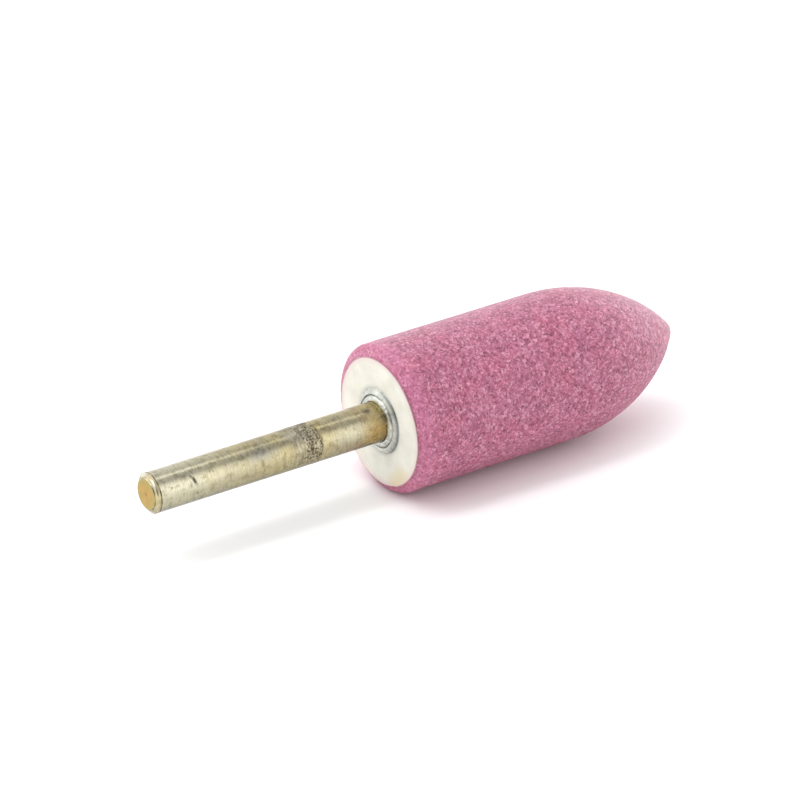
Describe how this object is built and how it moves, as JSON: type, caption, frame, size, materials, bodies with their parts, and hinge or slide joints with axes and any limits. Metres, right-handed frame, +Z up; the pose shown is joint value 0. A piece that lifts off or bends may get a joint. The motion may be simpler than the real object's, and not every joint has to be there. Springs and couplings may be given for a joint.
{
  "type": "mounted point",
  "caption": "Mounted abrasive point: a pink vitrified head, cylindrical with an ogive nose, on a round steel spindle with a card disc and an eyelet at its base.",
  "frame": {"origin": "centre of the flat face at the spindle's free end", "axes": "+X along the spindle, from its free end to the nose; +Z up as the point lies on the side of its head in the picture"},
  "size_m": [0.0908, 0.0222, 0.0222],
  "materials": {
    "abrasive_head": "open grit, rose pink, matt",
    "spindle": "ground and yellow passivated, scuffed",
    "bond_cement": "matt, cured",
    "label_disc": "matt white, slightly stained",
    "eyelet": "zinc plated, bright"
  },
  "bodies": {
    "root": {"abrasive_head": "abrasive_head", "spindle": "spindle", "bond_cement": "bond_cement", "label_disc": "label_disc", "eyelet": "eyelet"}
  },
  "joints": []
}
